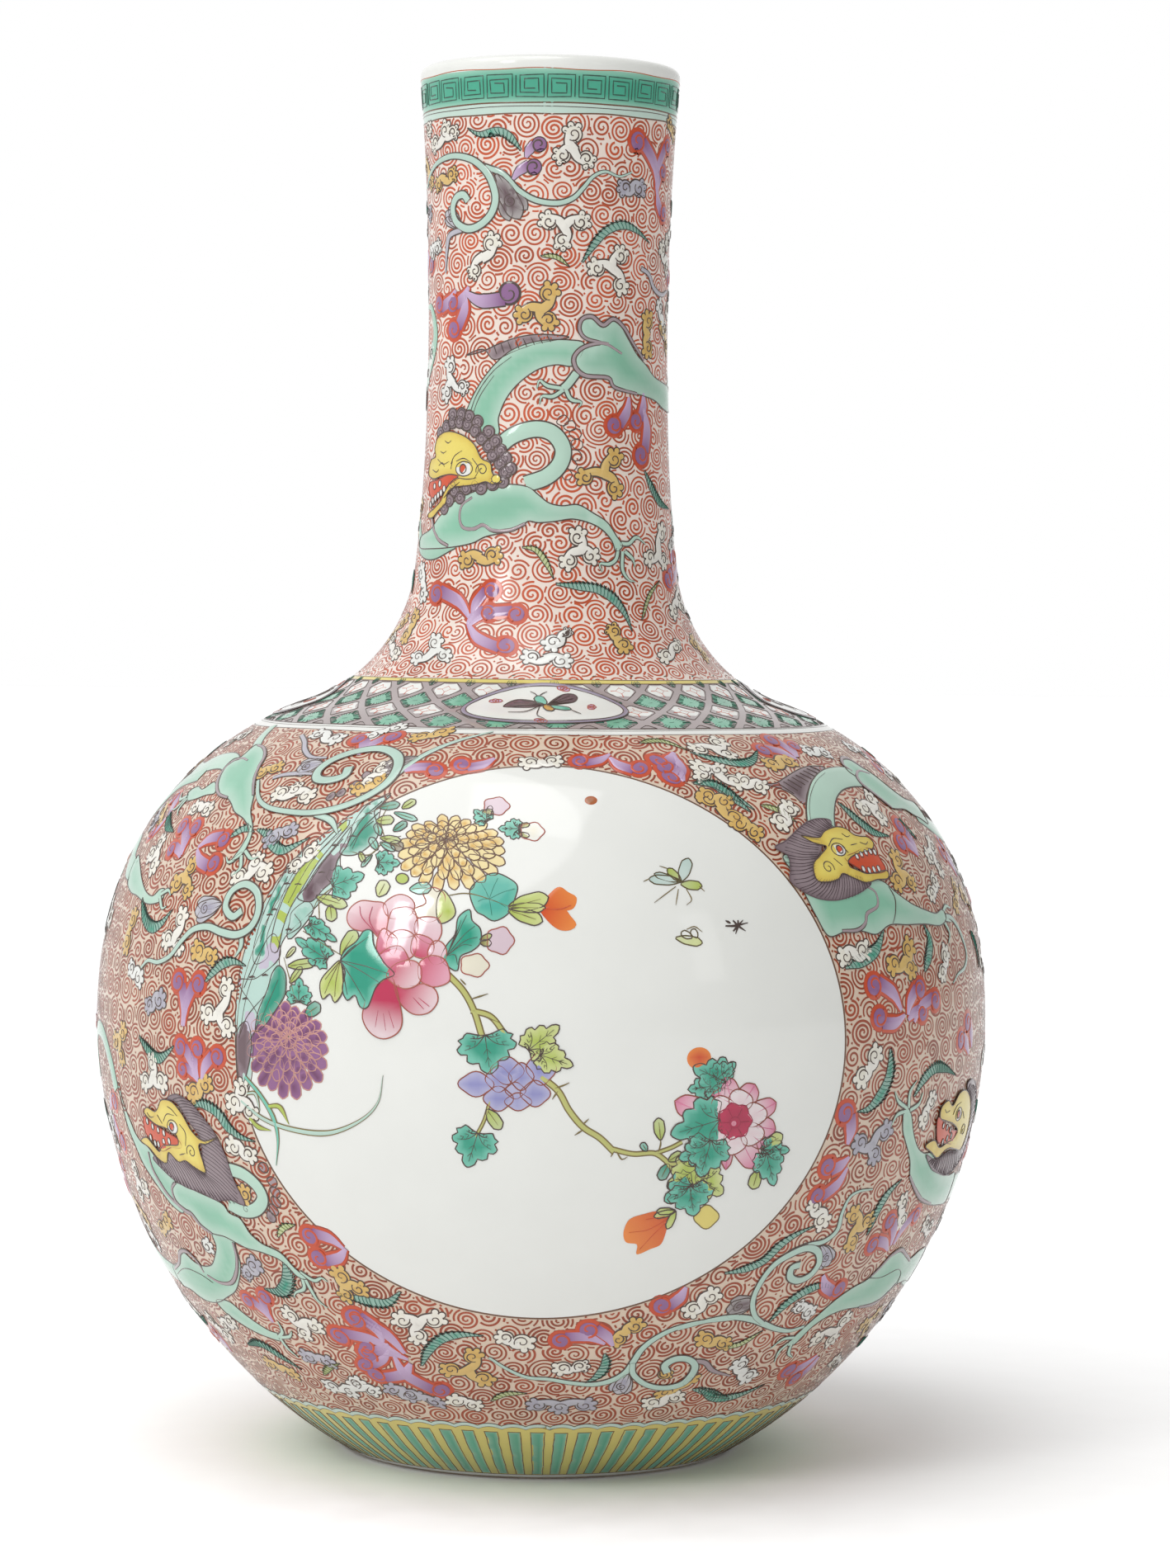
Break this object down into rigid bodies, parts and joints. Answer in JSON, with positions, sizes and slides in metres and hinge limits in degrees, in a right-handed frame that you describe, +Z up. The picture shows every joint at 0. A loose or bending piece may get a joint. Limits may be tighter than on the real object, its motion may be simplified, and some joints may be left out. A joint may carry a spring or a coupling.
{
  "type": "porcelain bottle vase",
  "caption": "Globular porcelain bottle vase with a tall neck and a rounded lip, open at the mouth, standing on a foot ring.",
  "frame": {"origin": "centre of the foot ring's resting circle, at the bottom of the vase", "axes": "+Z up along the axis of the vase; -Y towards the front panel; +X to the right seen from the front"},
  "size_m": [0.3468, 0.3468, 0.537],
  "materials": {
    "bare_foot_clay": "dry unglazed clay",
    "porcelain_clay": "fired porcelain clay",
    "luting_slip": "fired slip",
    "clear_glaze": "glossy clear glaze over white",
    "white_reserve_glaze": "glossy white glaze, painted",
    "stripe_enamel": "glossy teal and yellow enamel",
    "iron_red_scroll_enamel": "iron-red scrolls on pinkish white glaze",
    "diaper_enamel": "aubergine and teal diaper on white glaze",
    "yellow_enamel": "glossy yellow enamel",
    "turquoise_enamel": "glossy pale turquoise enamel",
    "key_fret_enamel": "dark fret on green enamel"
  },
  "bodies": {
    "root": {"foot_ring": "bare_foot_clay", "lower_globe": "porcelain_clay", "belly_slip_seam": "luting_slip", "upper_globe": "porcelain_clay", "neck_slip_seam": "luting_slip", "neck_tube": "porcelain_clay", "foot_line": "clear_glaze", "stripe_band": "stripe_enamel", "body_scroll_ground": "iron_red_scroll_enamel", "panel_front": "white_reserve_glaze", "panel_back": "white_reserve_glaze", "shoulder_white_line": "clear_glaze", "shoulder_diaper_band": "diaper_enamel", "medallion_front": "white_reserve_glaze", "medallion_right": "white_reserve_glaze", "medallion_back": "white_reserve_glaze", "medallion_left": "white_reserve_glaze", "shoulder_yellow_line": "yellow_enamel", "neck_scroll_ground": "iron_red_scroll_enamel", "collar_line": "turquoise_enamel", "key_fret_band": "key_fret_enamel", "lip_glaze": "clear_glaze", "interior_glaze": "clear_glaze", "base_glaze": "clear_glaze"}
  },
  "joints": []
}
